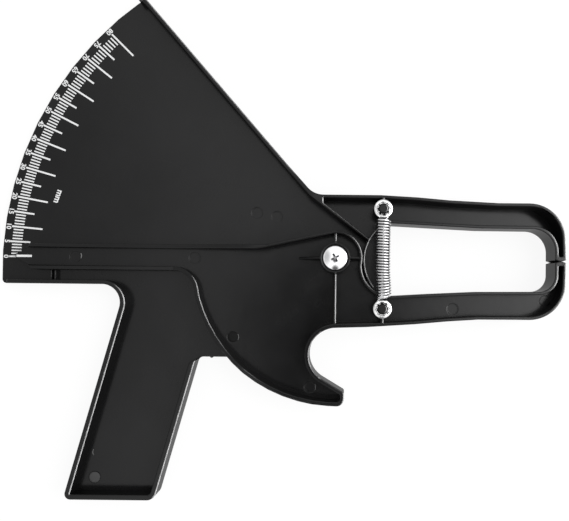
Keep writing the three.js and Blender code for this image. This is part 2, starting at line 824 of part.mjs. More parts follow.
function wireSolid(route) {
  const positions = [];
  const indices = [];
  const normal = new THREE.Vector3(0, 0, 1);
  route.forEach((point, i) => {
    const tangent = route[Math.min(i + 1, route.length - 1)].clone().sub(route[Math.max(i - 1, 0)]).normalize();
    normal.addScaledVector(tangent, -normal.dot(tangent)).normalize();
    const side = tangent.clone().cross(normal);
    for (let k = 0; k < wireSides; k += 1) {
      const turn = (2 * Math.PI * k) / wireSides;
      const at = point
        .clone()
        .addScaledVector(normal, (Math.cos(turn) * wireDiameter) / 2)
        .addScaledVector(side, (Math.sin(turn) * wireDiameter) / 2);
      positions.push(at.x, at.y, at.z);
    }
  });
  for (let i = 0; i < route.length - 1; i += 1) {
    for (let k = 0; k < wireSides; k += 1) {
      const a = i * wireSides + k;
      const b = i * wireSides + ((k + 1) % wireSides);
      indices.push(a, b, b + wireSides, a, b + wireSides, a + wireSides);
    }
  }
  const last = (route.length - 1) * wireSides;
  for (let k = 1; k < wireSides - 1; k += 1) {
    indices.push(0, k + 1, k, last, last + k, last + k + 1);
  }
  const geometry = new THREE.BufferGeometry();
  geometry.setAttribute("position", new THREE.Float32BufferAttribute(positions, 3));
  geometry.setIndex(indices);
  return solid(geometry);
}

// Assembly

const plastic = 0x2b2b2d;
const brightMetal = 0xd9dadc;
const steel = 0xb4b6b8;
const route = springRoute();
console.log("least gap between the spring's curls, mm:", leastGap(route).toFixed(2));

const caliper = new THREE.Group();
const thrustBase = webThickness + thrustGap;
caliper.add(
  meshOf("body", bodySolid(), plastic, 0.42, 0),
  meshOf("lever", leverSolid(), plastic, 0.42, 0),
  meshOf("pivot_barrel_nut", barrelNut(), steel, 0.35, 1),
  meshOf(
    "thrust_washer",
    washer(barrelRadius + seatGap, thrustWasherRadius, thrustBase, thrustWasherThickness),
    0xe8e6df,
    0.5,
    0,
  ),
  meshOf(
    "head_washer",
    washer(screwShankRadius + shankGap, headWasherRadius, collarFloor + thrustGap, headWasherThickness),
    steel,
    0.3,
    1,
  ),
  meshOf("pivot_screw", screw(), brightMetal, 0.15, 1),
  meshOf("tension_spring", wireSolid(route), brightMetal, 0.2, 1),
  meshOf("upper_star_clip", starClip(upperStudY), brightMetal, 0.22, 1),
  meshOf("lower_star_clip", starClip(lowerStudY), brightMetal, 0.22, 1),
);

export default caliper;
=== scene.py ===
"""Skinfold caliper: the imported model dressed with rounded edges, print, bright hardware and procedural
materials, lying on a pale floor in white surroundings. It is in metres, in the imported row's frame. The
sizes and places of the object below are in millimetres from the pivot and are turned into metres where
vertices are made."""

import math

import bmesh
import bpy
from mathutils import Matrix, Vector


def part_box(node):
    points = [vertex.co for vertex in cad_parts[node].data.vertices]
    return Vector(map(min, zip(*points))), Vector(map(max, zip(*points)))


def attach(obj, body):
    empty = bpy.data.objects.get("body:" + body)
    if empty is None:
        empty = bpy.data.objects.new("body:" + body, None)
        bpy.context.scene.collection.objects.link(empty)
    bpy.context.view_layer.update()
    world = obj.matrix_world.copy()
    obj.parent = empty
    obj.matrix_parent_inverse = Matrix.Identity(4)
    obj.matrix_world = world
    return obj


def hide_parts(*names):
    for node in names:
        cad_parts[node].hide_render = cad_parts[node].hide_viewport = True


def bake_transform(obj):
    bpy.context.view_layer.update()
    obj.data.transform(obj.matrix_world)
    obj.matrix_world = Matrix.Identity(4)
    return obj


MM = 0.001

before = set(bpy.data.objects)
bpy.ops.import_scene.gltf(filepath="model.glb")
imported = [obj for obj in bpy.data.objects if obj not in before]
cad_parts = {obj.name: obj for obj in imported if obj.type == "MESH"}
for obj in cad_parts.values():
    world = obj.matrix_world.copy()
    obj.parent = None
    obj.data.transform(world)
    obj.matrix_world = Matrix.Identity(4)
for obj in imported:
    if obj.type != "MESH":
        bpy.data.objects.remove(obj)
bpy.context.view_layer.update()


# Heights of the mouldings' faces above the back

BACK = 0.0
WEB_FRONT = 2.5
LEVER_FLOOR = 5.5
ARM_RIM = 9.0
BODY_RIM = 11.0
COLLAR_RIM = 15.2
JAW_RIM = 16.0


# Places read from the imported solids

def corners_of(node):
    """A node's lowest and highest corners, to a thousandth of a millimetre."""
    return [[round(value / MM, 3) for value in corner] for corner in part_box(node)]


def middle_of(node):
    """The middle of a node, seen from the front."""
    low, high = corners_of(node)
    return Vector(((low[0] + high[0]) / 2, (low[1] + high[1]) / 2))


LOOP_DROP = 0.75
WASHER_GAP = 0.1
STUDS = {"upper": middle_of("upper_star_clip"), "lower": middle_of("lower_star_clip")}
CLIP_BOTTOM = corners_of("upper_star_clip")[0][2]
LOOP_HEIGHT = CLIP_BOTTOM - LOOP_DROP
HEAD_SEAT = corners_of("head_washer")[1][2] + WASHER_GAP
HEAD_RADIUS = corners_of("pivot_screw")[1][0]
SCREW_FOOT = corners_of("pivot_screw")[0][2]
POINTER_END = corners_of("lever")[0][0]


# Camera, at the photograph's place

CAMERA_PLACE = (2.48, -15.64, 346)
CAMERA_ROLL = 0.6
CAMERA_LENS = 43.15
CAMERA_SHIFT = (-0.0975, 0.0518)
NEAREST_SEEN, FURTHEST_SEEN = 10, 20000


def make_camera():
    data = bpy.data.cameras.new("camera")
    data.lens = CAMERA_LENS
    data.sensor_width = 36
    data.shift_x, data.shift_y = CAMERA_SHIFT
    data.clip_start = NEAREST_SEEN * MM
    data.clip_end = FURTHEST_SEEN * MM
    camera = bpy.data.objects.new("camera", data)
    camera.location = [value * MM for value in CAMERA_PLACE]
    camera.rotation_euler = (0, 0, math.radians(CAMERA_ROLL))
    bpy.context.collection.objects.link(camera)
    bpy.context.scene.camera = camera


# Nodes, for materials, modifiers and surroundings

def feed(tree, value, socket):
    """Gives a node's input a plain value or another node's output."""
    if isinstance(value, bpy.types.NodeSocket):
        tree.links.new(value, socket)
    else:
        socket.default_value = value


def new_node(tree, kind, inputs=None, **settings):
    """A new node with its settings made and its inputs fed."""
    node = tree.nodes.new(kind)
    for name, value in settings.items():
        setattr(node, name, value)
    for name, value in (inputs or {}).items():
        feed(tree, value, node.inputs[name])
    return node


def math_node(tree, operation, *values):
    """The result of a maths node."""
    return new_node(tree, "ShaderNodeMath", dict(enumerate(values)), operation=operation).outputs[0]


def mapped(tree, source, start, end, low, high, easing="LINEAR"):
    """Low where the source is at the start or below, high where it is at the end or above."""
    names = ("Value", "From Min", "From Max", "To Min", "To Max")
    inputs = dict(zip(names, (source, start, end, low, high)))
    return new_node(tree, "ShaderNodeMapRange", inputs, interpolation_type=easing).outputs[0]


def mixed_shader(tree, share, a, b):
    """Shader a where the share is 0 and shader b where it is 1."""
    return new_node(tree, "ShaderNodeMixShader", {0: share, 1: a, 2: b}).outputs[0]


def seen_directly(tree):
    """1 for rays from the camera and for mirrored and transmitted rays, 0 for the others."""
    rays = tree.nodes.new("ShaderNodeLightPath").outputs
    seen = rays["Is Camera Ray"]
    for kind in ("Is Glossy Ray", "Is Transmission Ray"):
        seen = math_node(tree, "MAXIMUM", seen, rays[kind])
    return seen


# Materials

# Noise patterns: bumps to a metre, and octaves of finer detail
FLOW_MARKS = (28, 3)
SHEEN_CLOUDS = (60, 5)
MOULD_WAVES = (90, 2)
SPARK_GRAIN = (5200, 2)
HIGHLIGHT_PATCHES = (240, 3)
METAL_CLOUDS = (500, 4)
POLISH_CLOUDS = (900, 5)
SCRATCHES = (2600, 3)
INK_COVER = (2400, 4)
INK_SHEEN = (1500, 3)
INK_GRAIN = (4200, 3)
FLOOR_CLOUDS = (30, 3)

# Corners: their radius, how often they are sampled, and how open an inner and an outer one are
CORNER_RADIUS = 0.8
CORNER_SAMPLES = 6
INNER_CORNER, OUTER_CORNER = 0.8, 0.95

# Painted shade in hollows: its grey, and how open a fully shaded and an unshaded spot are
SHADE_GREY = 0.02
SHADE_SAMPLES = 8
SHADED_SPOT, OPEN_SPOT = 0.55, 0.92

# How far the normals of walls and of level faces point up or down
WALL_SLOPE, LEVEL_SLOPE = 0.15, 0.5

# Painted highlight, a pale colour on outer corners that lean towards +x and up: the way that they lean,
# how far they lean that way where the highlight starts and where it is full, the least share that is
# painted, their lowest height, and how near the pivot they come
HIGHLIGHT_WAY = (0.6, 0.0, 0.8)
HIGHLIGHT_FROM, HIGHLIGHT_FULLY = 0.85, 0.95
HIGHLIGHT_SHARE = 0.65
HIGHLIGHT_ABOVE = 6
HIGHLIGHT_BEYOND = 8.2


def grey(value):
    return value, value, value


class Nodes:
    """A material's node tree, with short calls for the nodes that the materials share. Patterns are laid
    out in the piece's own coordinates, so they stay with it when it moves."""

    def __init__(self, name):
        self.material = bpy.data.materials.new(name)
        self.material.use_nodes = True
        self.tree = self.material.node_tree
        self.shader = self.tree.nodes["Principled BSDF"]
        self.geometry = self.new("ShaderNodeNewGeometry")
        self.place = self.new("ShaderNodeTexCoord")["Object"]

    def new(self, kind, inputs=None, **settings):
        """A new node's outputs."""
        return new_node(self.tree, kind, inputs, **settings).outputs

    def give(self, name, value):
        """Feeds an input of the shader."""
        feed(self.tree, value, self.shader.inputs[name])

    def math(self, operation, *values):
        return math_node(self.tree, operation, *values)

    def noise(self, pattern, stretch=None):
        scale, detail = pattern
        place = self.place
        if stretch:
            place = self.new("ShaderNodeMapping", {"Vector": place, "Scale": stretch})["Vector"]
        return self.new("ShaderNodeTexNoise", {"Vector": place, "Scale": scale, "Detail": detail})["Fac"]

    def ramp(self, source, *stops):
        """A colour that runs between two stops, each a value of the source and the colour there."""
        ramp = new_node(self.tree, "ShaderNodeValToRGB", {"Fac": source})
        for element, (at, colour) in zip(ramp.color_ramp.elements, stops):
            element.position = at
            element.color = (*colour, 1)
        return ramp.outputs["Color"]

    def mixed_colour(self, share, a, b):
        """Colour a where the share is 0 and colour b where it is 1."""
        return self.new("ShaderNodeMix", {0: share, 6: a, 7: b}, data_type="RGBA")[2]

    def mixed_vector(self, share, a, b):
        """Vector a where the share is 0 and vector b where it is 1."""
        return self.new("ShaderNodeMix", {0: share, 4: a, 5: b}, data_type="VECTOR")[1]

    def openness(self, reach, samples):
        """1 in the open and less where the piece's own surfaces are within reach."""
        inputs = {"Distance": reach * MM}
        return self.new("ShaderNodeAmbientOcclusion", inputs, samples=samples, only_local=True)["AO"]

    def bump(self, height, strength, depth, normal=None):
        """A normal roughened by a height, starting from another normal if there is one."""
        inputs = {"Height": height, "Strength": strength, "Distance": depth * MM}
        if normal:
            inputs["Normal"] = normal
        return self.new("ShaderNodeBump", inputs)["Normal"]

    def rounded(self, radius):
        """The surface normal, turned as if outer corners were rounded; inner corners stay as they are."""
        corner = self.new("ShaderNodeBevel", {"Radius": radius * MM}, samples=CORNER_SAMPLES)["Normal"]
        openness = self.openness(2 * radius, CORNER_SAMPLES)
        outer = mapped(self.tree, openness, INNER_CORNER, OUTER_CORNER, 0.0, 1.0)
        return self.mixed_vector(outer, self.geometry["Normal"], corner)

    def grimy(self, colour, reach):
        """The colour, darkened as painted shade where the piece's own surfaces close it in."""
        openness = self.openness(reach, SHADE_SAMPLES)
        unshaded = self.ramp(openness, (SHADED_SPOT, grey(0.0)), (OPEN_SPOT, grey(1.0)))
        return self.mixed_colour(unshaded, (*grey(SHADE_GREY), 1), colour)

    def by_slope(self, on_levels, on_walls):
        """One value on faces that look up or down and another on upright walls."""
        facing = self.new("ShaderNodeSeparateXYZ", {0: self.geometry["True Normal"]})["Z"]
        slope = self.math("ABSOLUTE", facing)
        return mapped(self.tree, slope, WALL_SLOPE, LEVEL_SLOPE, on_walls, on_levels)

    def further_than(self, distance, axes):
        """1 where the place, along the axes that are 1, is further than the distance from the pivot."""
        kept = self.new("ShaderNodeVectorMath", {0: self.place, 1: axes}, operation="MULTIPLY")[0]
        length = self.new("ShaderNodeVectorMath", {0: kept}, operation="LENGTH")["Value"]
        return self.math("GREATER_THAN", length, distance * MM)

    def rubbed(self, colour, pale, normal):
        """The colour with a painted highlight: pale in patches on the corners that lean the highlight's way.
        """
        spaces = {"vector_type": "NORMAL", "convert_from": "WORLD", "convert_to": "OBJECT"}
        own_normal = self.new("ShaderNodeVectorTransform", {0: normal}, **spaces)[0]
        inputs = {0: own_normal, 1: HIGHLIGHT_WAY}
        lean = self.new("ShaderNodeVectorMath", inputs, operation="DOT_PRODUCT")["Value"]
        share = self.ramp(lean, (HIGHLIGHT_FROM, grey(0.0)), (HIGHLIGHT_FULLY, grey(1.0)))
        patches = self.ramp(self.noise(HIGHLIGHT_PATCHES), (0.3, grey(HIGHLIGHT_SHARE)), (0.6, grey(1.0)))
        patches = self.math("MULTIPLY", patches, self.further_than(HIGHLIGHT_ABOVE, (0, 0, 1)))
        patches = self.math("MULTIPLY", patches, self.further_than(HIGHLIGHT_BEYOND, (1, 1, 0)))
        return self.mixed_colour(self.math("MULTIPLY", share, patches), colour, (*pale, 1))


def moulded_plastic(name, dark, pale, rough_low, rough_high, index=1.45, rubbed=None):
    """Moulded plastic: faint flow marks in the colour, satin sheen that varies, fine spark-eroded grain,
    rounded corners and duller side walls. A pale colour on the corners that lean one way is a painted
    highlight."""
    n = Nodes(name)
    colour = n.ramp(n.noise(FLOW_MARKS), (0.3, dark), (0.7, pale))
    sheen = n.ramp(n.noise(SHEEN_CLOUDS), (0.3, grey(rough_low)), (0.72, grey(rough_high)))
    corner = n.rounded(CORNER_RADIUS)
    if rubbed:
        colour = n.rubbed(colour, rubbed, corner)
    grain = n.bump(n.noise(SPARK_GRAIN), strength=0.22, depth=0.03, normal=corner)
    waves = n.bump(n.noise(MOULD_WAVES), strength=0.12, depth=0.4, normal=grain)
    n.give("Base Color", colour)
    n.give("Roughness", n.math("MAXIMUM", sheen, n.by_slope(on_levels=0.0, on_walls=0.4)))
    n.give("Specular IOR Level", n.by_slope(on_levels=0.5, on_walls=0.2))
    n.give("IOR", index)
    n.give("Normal", waves)
    return n.material


def bright_metal(name, dark, pale, rough_low, rough_high, stretch=(1, 1, 1), scratch=0.12, shade_reach=0.0):
    """Plated metal: colour and polish vary a little, with fine scratches, stretched along an axis, and
    painted shade, a darker colour, in hollows of a given reach."""
    n = Nodes(name)
    colour = n.ramp(n.noise(METAL_CLOUDS), (0.3, dark), (0.7, pale))
    if shade_reach:
        colour = n.grimy(colour, shade_reach)
    polish = n.ramp(n.noise(POLISH_CLOUDS), (0.3, grey(rough_low)), (0.7, grey(rough_high)))
    n.give("Metallic", 1)
    n.give("Base Color", colour)
    n.give("Roughness", polish)
    n.give("Normal", n.bump(n.noise(SCRATCHES, stretch), scratch, depth=0.04))
    return n.material


def print_paint(name):
    """Pad-printed white ink, a little uneven where it lies thin."""
    n = Nodes(name)
    n.give("Base Color", n.ramp(n.noise(INK_COVER), (0.25, grey(0.8)), (0.5, (0.93, 0.94, 0.94))))
    n.give("Roughness", n.ramp(n.noise(INK_SHEEN), (0.3, grey(0.42)), (0.7, grey(0.6))))
    n.give("Normal", n.bump(n.noise(INK_GRAIN), strength=0.15, depth=0.02))
    return n.material


# The pale grey on the black moulding's corners is a painted highlight.
BLACK = moulded_plastic(
    "black_moulding", (0.0055, 0.0055, 0.0057), (0.0085, 0.0085, 0.0088), 0.15, 0.21,
    index=1.34, rubbed=grey(0.82),
)
CHROME = bright_metal("polished_nickel", (0.8, 0.8, 0.81), (0.9, 0.9, 0.91), 0.08, 0.15)
# The wire's colour is darkened as painted shade in the spring's grooves and inside the coil.
WIRE = bright_metal(
    "spring_wire", (0.76, 0.76, 0.77), (0.88, 0.88, 0.89), 0.14, 0.22, stretch=(1, 6, 1), shade_reach=4,
)
# The clips' colour is darkened as painted shade in their hollows.
PLATE = bright_metal("plated_clip", grey(0.76), grey(0.88), 0.1, 0.2, shade_reach=1.2)
STEEL = bright_metal(
    "turned_steel", (0.5, 0.5, 0.51), (0.62, 0.62, 0.63), 0.24, 0.36, stretch=(6, 1, 1), scratch=0.2,
)
NYLON = moulded_plastic("pale_nylon", (0.66, 0.65, 0.6), (0.75, 0.74, 0.69), 0.38, 0.5)
# The darker metal of the cross recess is painted shade.
RECESS_SHADE = bright_metal("recess_painted_shade", (0.2, 0.2, 0.21), (0.34, 0.34, 0.35), 0.25, 0.4)
# Paler plastic for the grip's ejector mark: a smoother surface, with painted sheen in its colour.
PIN_MARK = moulded_plastic("pin_mark", grey(0.05), grey(0.12), 0.3, 0.42, index=1.34)
# Pale grey for the glints, painted highlights on the edges of the ejector pins' marks.
GLINT_PAINT = moulded_plastic("painted_glint", grey(0.2), grey(0.3), 0.4, 0.5, index=1.34)
DULL_MARK = moulded_plastic("dull_mark", grey(0.003), grey(0.006), 0.3, 0.4, index=1.25)
INK = print_paint("white_ink")


# Small tools for meshes

def vertex(bm, x, y, z):
    return bm.verts.new((x * MM, y * MM, z * MM))


def on_circle(centre, radius, angle):
    """A place on a circle that is seen from the front; the angle is in radians."""
    return centre[0] + radius * math.cos(angle), centre[1] + radius * math.sin(angle)


def bridge(bm, low, high):
    """Adds the faces between two rings of vertices."""
    for k in range(len(low)):
        j = (k + 1) % len(low)
        bm.faces.new((low[k], low[j], high[j], high[k]))


def block(bm, low, high):
    """Adds the closed solid between a lower and an upper ring of vertices."""
    bm.faces.new(high)
    bm.faces.new(low[::-1])
    bridge(bm, low, high)


def slab(bm, outline, bottom, top):
    """Adds a flat-topped solid over a plane outline."""
    low, high = [[vertex(bm, x, y, z) for x, y in outline] for z in (bottom, top)]
    block(bm, low, high)


def lathe(bm, profile, centre=(0, 0), sides=72):
    """Adds a round solid about an upright axis; the profile, of radius and height, runs from the axis
    back to the axis."""
    turns = [2 * math.pi * k / sides for k in range(sides)]
    rings = []
    for radius, z in profile:
        if radius == 0:
            rings.append([vertex(bm, *centre, z)])
        else:
            rings.append([vertex(bm, *on_circle(centre, radius, turn), z) for turn in turns])
    for low, high in zip(rings, rings[1:]):
        for k in range(sides):
            j = k + 1
            loop = (low[k % len(low)], low[j % len(low)], high[j % len(high)], high[k % len(high)])
            unique = list(dict.fromkeys(loop))
            if len(unique) > 2:
                bm.faces.new(unique)


def new_piece(name, bm, material, smooth_angle=35):
    """A mesh object from a bmesh, shaded smooth except at edges sharper than the angle in degrees."""
    bmesh.ops.recalc_face_normals(bm, faces=bm.faces)
    for face in bm.faces:
        face.smooth = True
    for edge in bm.edges:
        edge.smooth = not edge.is_manifold or edge.calc_face_angle(0) < math.radians(smooth_angle)
    mesh = bpy.data.meshes.new(name)
    bm.to_mesh(mesh)
    bm.free()
    mesh.materials.append(material)
    piece = bpy.data.objects.new(name, mesh)
    bpy.context.collection.objects.link(piece)
    return piece


def bevel_corners(piece, name, width, angle):
    """A modifier that rounds the edges of a piece that are sharper than the angle in degrees."""
    bevel = piece.modifiers.new(name, "BEVEL")
    bevel.width = width * MM
    bevel.segments = 2
    bevel.limit_method = "ANGLE"
    bevel.angle_limit = math.radians(angle)
    return bevel


def apply_modifiers(piece):
    shown = piece.evaluated_get(bpy.context.evaluated_depsgraph_get())
    mesh = bpy.data.meshes.new_from_object(shown)
    piece.modifiers.clear()
    piece.data = mesh


# Mouldings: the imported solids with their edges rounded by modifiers

ROUNDING = 0.32
WELD_REACH = 0.002

# Degrees from which an edge is rounded, and up to which it is shaded smooth
SHARP_EDGE = 40
SMOOTH_EDGE = 34

# Ranges of x and of y where edges get a share of their own
EVERYWHERE = (-400, 400)
BESIDE_COLLAR = (-18.5, -7.25)
STUD_RIBS = (22.2, 23.8)
UPPER_RIB_END = (27.5, 29.2)
LOWER_RIB_END = (-32.6, -28.5)


def geometry_tree(name):
    """Geometry nodes with one geometry in and one out."""
    tree = bpy.data.node_groups.new(name, "GeometryNodeTree")
    for way in ("INPUT", "OUTPUT"):
        tree.interface.new_socket("Geometry", in_out=way, socket_type="NodeSocketGeometry")
    return tree


def lead_through(tree, *steps):
    """Leads the geometry from the way in, through each node, to the way out."""
    chain = [tree.nodes.new("NodeGroupInput"), *steps, tree.nodes.new("NodeGroupOutput")]
    for node, following in zip(chain, chain[1:]):
        tree.links.new(node.outputs[0], following.inputs["Geometry"])


def edge_angle(tree):
    return tree.nodes.new("GeometryNodeInputMeshEdgeAngle").outputs["Unsigned Angle"]


def edge_weights(name, zones):
    """Geometry nodes that write each sharp edge's share of the rounding; the last zone that holds the
    middle of an edge counts."""
    tree = geometry_tree(name)
    position = tree.nodes.new("GeometryNodeInputPosition").outputs[0]
    x, y, z = new_node(tree, "ShaderNodeSeparateXYZ", {0: position}).outputs
    sharp = math_node(tree, "GREATER_THAN", edge_angle(tree), math.radians(SHARP_EDGE))
    share = 0.0
    for amount, *ranges in zones:
        inside = 1.0
        for place, (low, high) in zip((z, x, y), ranges):
            over = math_node(tree, "GREATER_THAN", place, low * MM)
            under = math_node(tree, "LESS_THAN", place, high * MM)
            inside = math_node(tree, "MULTIPLY", inside, math_node(tree, "MULTIPLY", over, under))
        kept = math_node(tree, "MULTIPLY", share, math_node(tree, "SUBTRACT", 1.0, inside))
        share = math_node(tree, "ADD", kept, math_node(tree, "MULTIPLY", inside, amount))
    weight = math_node(tree, "MULTIPLY", sharp, share)
    bare = new_node(tree, "GeometryNodeRemoveAttribute", {"Name": "custom_normal"})
    inputs = {"Name": "bevel_weight_edge", "Value": weight}
    settings = {"data_type": "FLOAT", "domain": "EDGE"}
    store = new_node(tree, "GeometryNodeStoreNamedAttribute", inputs, **settings)
    lead_through(tree, bare, store)
    return tree


def smooth_by_angle():
    """Geometry nodes that shade faces smooth and keep the sharper edges."""
    tree = geometry_tree("smooth_by_angle")
    blunt = math_node(tree, "LESS_THAN", edge_angle(tree), math.radians(SMOOTH_EDGE))
    faces = tree.nodes.new("GeometryNodeSetShadeSmooth")
    edges = new_node(tree, "GeometryNodeSetShadeSmooth", {"Shade Smooth": blunt}, domain="EDGE")
    lead_through(tree, faces, edges)
    return tree


def zone(share, heights, x=EVERYWHERE, y=EVERYWHERE):
    """A part of a moulding whose sharp edges get a share of the full rounding."""
    return share, heights, x, y


def heights_at(height):
    """The heights of the edges of a face at one height."""
    return height - 0.1, height + 0.1


def heights_over(height):
    """The heights from just over a rim to the jaws' rim."""
    return height + 0.05, JAW_RIM + 0.1


def round_edges(node, zones, smooth_nodes):
    weld = node.modifiers.new("weld", "WELD")
    weld.merge_threshold = WELD_REACH * MM
    weights = node.modifiers.new("edge_weights", "NODES")
    weights.node_group = edge_weights(node.name + "_weights", zones)
    bevel = node.modifiers.new("rounding", "BEVEL")
    bevel.limit_method = "WEIGHT"
    bevel.width = ROUNDING * MM
    bevel.segments = 4
    bevel.use_clamp_overlap = False
    bevel.loop_slide = False
    smooth = node.modifiers.new("smooth_by_angle", "NODES")
    smooth.node_group = smooth_nodes
    flats = node.modifiers.new("flat_faces", "WEIGHTED_NORMAL")
    flats.mode = "FACE_AREA"
    flats.weight = 60
    flats.keep_sharp = True


def dress_solids():
    """Rounds the two mouldings and gives each solid that stays in view its finish."""
    body_zones = [
        zone(0.9, heights_at(BACK)),
        zone(1.0, heights_at(BODY_RIM)),
        zone(0.9, heights_over(BODY_RIM)),
        zone(0.0, heights_over(BODY_RIM), STUD_RIBS, UPPER_RIB_END),
    ]
    lever_zones = [
        zone(1.0, heights_at(ARM_RIM)),
        zone(0.9, heights_over(ARM_RIM)),
        zone(0.8, heights_at(COLLAR_RIM)),
        zone(0.0, heights_over(ARM_RIM), BESIDE_COLLAR),
        zone(0.0, heights_over(ARM_RIM), STUD_RIBS, LOWER_RIB_END),
    ]
    smooth_nodes = smooth_by_angle()
    round_edges(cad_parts["body"], body_zones, smooth_nodes)
    round_edges(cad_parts["lever"], lever_zones, smooth_nodes)
    finishes = {
        "body": BLACK,
        "lever": BLACK,
        "pivot_barrel_nut": STEEL,
        "thrust_washer": NYLON,
        "head_washer": STEEL,
    }
    for name, material in finishes.items():
        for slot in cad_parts[name].material_slots:
            slot.material = material


# Print on the fan: marks, numbers and the pointer's index line

INK_DEPTH = 0.04
FAN_CENTRE = Vector((0.4, -6.9))
FAN_RADIUS = 168.1
LAST_READING = 80

# Degrees: the first mark, a millimetre's step there, and the share by which the last mark is further on
# than even steps would put it
FIRST_MARK = -0.14
STEP = 0.5324
GROWTH = 0.049

NUMBER_HEIGHT, NUMBER_INSIDE, NUMBER_BOLDNESS = 2.3, 1.65, 0.09
UNIT_HEIGHT, UNIT_PLACE, UNIT_TURN, UNIT_BOLDNESS = 3.1, (-139.9, 29.9), -109, 0.12
CAPITAL_SHARE = 0.7

# The index line: how far its ends lie from the pointer's end, how far that stretch of the pointer
# reaches, and the line's edges
LINE_ENDS = (0.4, 8.1)
POINTER_STRETCH = 4.6
LINE_EDGES = (-0.8, 0.32)


def reading_angle(reading):
    """Degrees above the resting pointer for a reading in millimetres."""
    return FIRST_MARK + STEP * reading * (1 + GROWTH * (reading / LAST_READING) ** 3)


def ray(angle):
    """The way from the pivot to the fan at an angle above the resting pointer."""
    return Vector((-math.cos(math.radians(angle)), math.sin(math.radians(angle))))


def edge_distance(angle, inside):
    """Distance from the pivot, along a ray, to a circle so far inside the fan's edge."""
    b = ray(angle).dot(FAN_CENTRE)
    return b + math.sqrt(b * b - FAN_CENTRE.length_squared + (FAN_RADIUS - inside) ** 2)


def mark_form(reading):
    """A mark's length, its distance inside the fan's edge, and its width."""
    if reading % 10 == 0:
        return 15.4, 3.3, 0.85
    if reading % 5 == 0:
        return 10.3, 3.1, 0.85
    return 5.0, 4.3, 0.68


def make_marks():
    bm = bmesh.new()
    for reading in range(LAST_READING + 1):
        length, inside, width = mark_form(reading)
        angle = reading_angle(reading)
        way = ray(angle)
        side = Vector((-way.y, way.x)) * width / 2
        outer = way * edge_distance(angle, inside)
        inner = way * (edge_distance(angle, inside) - length)
        outline = (outer + side, outer - side, inner - side, inner + side)
        slab(bm, outline, WEB_FRONT, WEB_FRONT + INK_DEPTH)
    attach(new_piece("scale_marks", bm, INK), "frame")


def lettering(text, height, place, turn, boldness):
    """Flat raised text, centred on a place and turned by degrees, as a mesh in metres."""
    curve = bpy.data.curves.new("lettering", "FONT")
    curve.body = text
    curve.align_x = "CENTER"
    curve.align_y = "CENTER"
    curve.size = height / CAPITAL_SHARE
    curve.offset = boldness
    curve.resolution_u = 3
    curve.extrude = INK_DEPTH / 2
    letters = bpy.data.objects.new("lettering", curve)
    bpy.context.collection.objects.link(letters)
    bpy.context.view_layer.update()
    mesh = bpy.data.meshes.new_from_object(letters.evaluated_get(bpy.context.evaluated_depsgraph_get()))
    bpy.data.objects.remove(letters)
    spot = Matrix.Translation((*(Vector(place) * MM), (WEB_FRONT + INK_DEPTH / 2) * MM))
    mesh.transform(spot @ Matrix.Rotation(math.radians(turn), 4, "Z") @ Matrix.Scale(MM, 4))
    return mesh


def make_numbers():
    bm = bmesh.new()
    for reading in range(0, LAST_READING + 1, 5):
        angle = reading_angle(reading)
        place = ray(angle) * edge_distance(angle, NUMBER_INSIDE)
        bm.from_mesh(lettering(str(reading), NUMBER_HEIGHT, place, -90 - angle, NUMBER_BOLDNESS))
    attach(new_piece("scale_numbers", bm, INK), "frame")


def make_unit():
    bm = bmesh.new()
    bm.from_mesh(lettering("mm", UNIT_HEIGHT, UNIT_PLACE, UNIT_TURN, UNIT_BOLDNESS))
    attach(new_piece("scale_unit", bm, INK), "frame")


def make_index_line():
    """A line along the pointer, near its end and on its highest face there."""
    stretch = (POINTER_END + POINTER_STRETCH) * MM
    front = max(v.co.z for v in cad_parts["lever"].data.vertices if v.co.x < stretch) / MM
    left, right = [POINTER_END + distance for distance in LINE_ENDS]
    low, high = LINE_EDGES
    bm = bmesh.new()
    slab(bm, [(left, low), (right, low), (right, high), (left, high)], front, front + INK_DEPTH)
    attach(new_piece("index_line", bm, INK), "lever")


# Screw

HEAD_HEIGHT = 2.5
HEAD_EDGE = 1.5
DOME_STEPS = 14
SHANK_RADIUS = 1.95
SHANK_CHAMFER = (0.35, 0.4)
HEAD_CHAMFER = (0.2, 0.15)
DOME_START = 0.1
RECESS_TURN = 28
RECESS_DEPTH = 1.6
RECESS_ROUNDING = 0.06
ABOVE_HEAD = 0.4

# A wing of the cross: its reach and half its width, at the floor and above the head
WING_AT_FLOOR = (0.85, 0.3)
WING_ABOVE = (2.65, 0.56)


def screw_profile():
    """A plain shank with a chamfered end, and a truss head."""
    rise = HEAD_HEIGHT - HEAD_EDGE
    dome = (HEAD_RADIUS**2 + rise**2) / (2 * rise)
    spread = math.asin(HEAD_RADIUS / dome)
    top = HEAD_SEAT + HEAD_HEIGHT
    profile = [
        (0, SCREW_FOOT),
        (SHANK_RADIUS - SHANK_CHAMFER[0], SCREW_FOOT),
        (SHANK_RADIUS, SCREW_FOOT + SHANK_CHAMFER[1]),
        (SHANK_RADIUS, HEAD_SEAT),
        (HEAD_RADIUS - HEAD_CHAMFER[0], HEAD_SEAT),
        (HEAD_RADIUS, HEAD_SEAT + HEAD_CHAMFER[1]),
        (HEAD_RADIUS, HEAD_SEAT + HEAD_EDGE - DOME_START),
    ]
    for k in range(1, DOME_STEPS):
        a = math.pi / 2 - spread * (1 - k / DOME_STEPS)
        profile.append((dome * math.cos(a), top - dome + dome * math.sin(a)))
    return profile + [(0, top)]


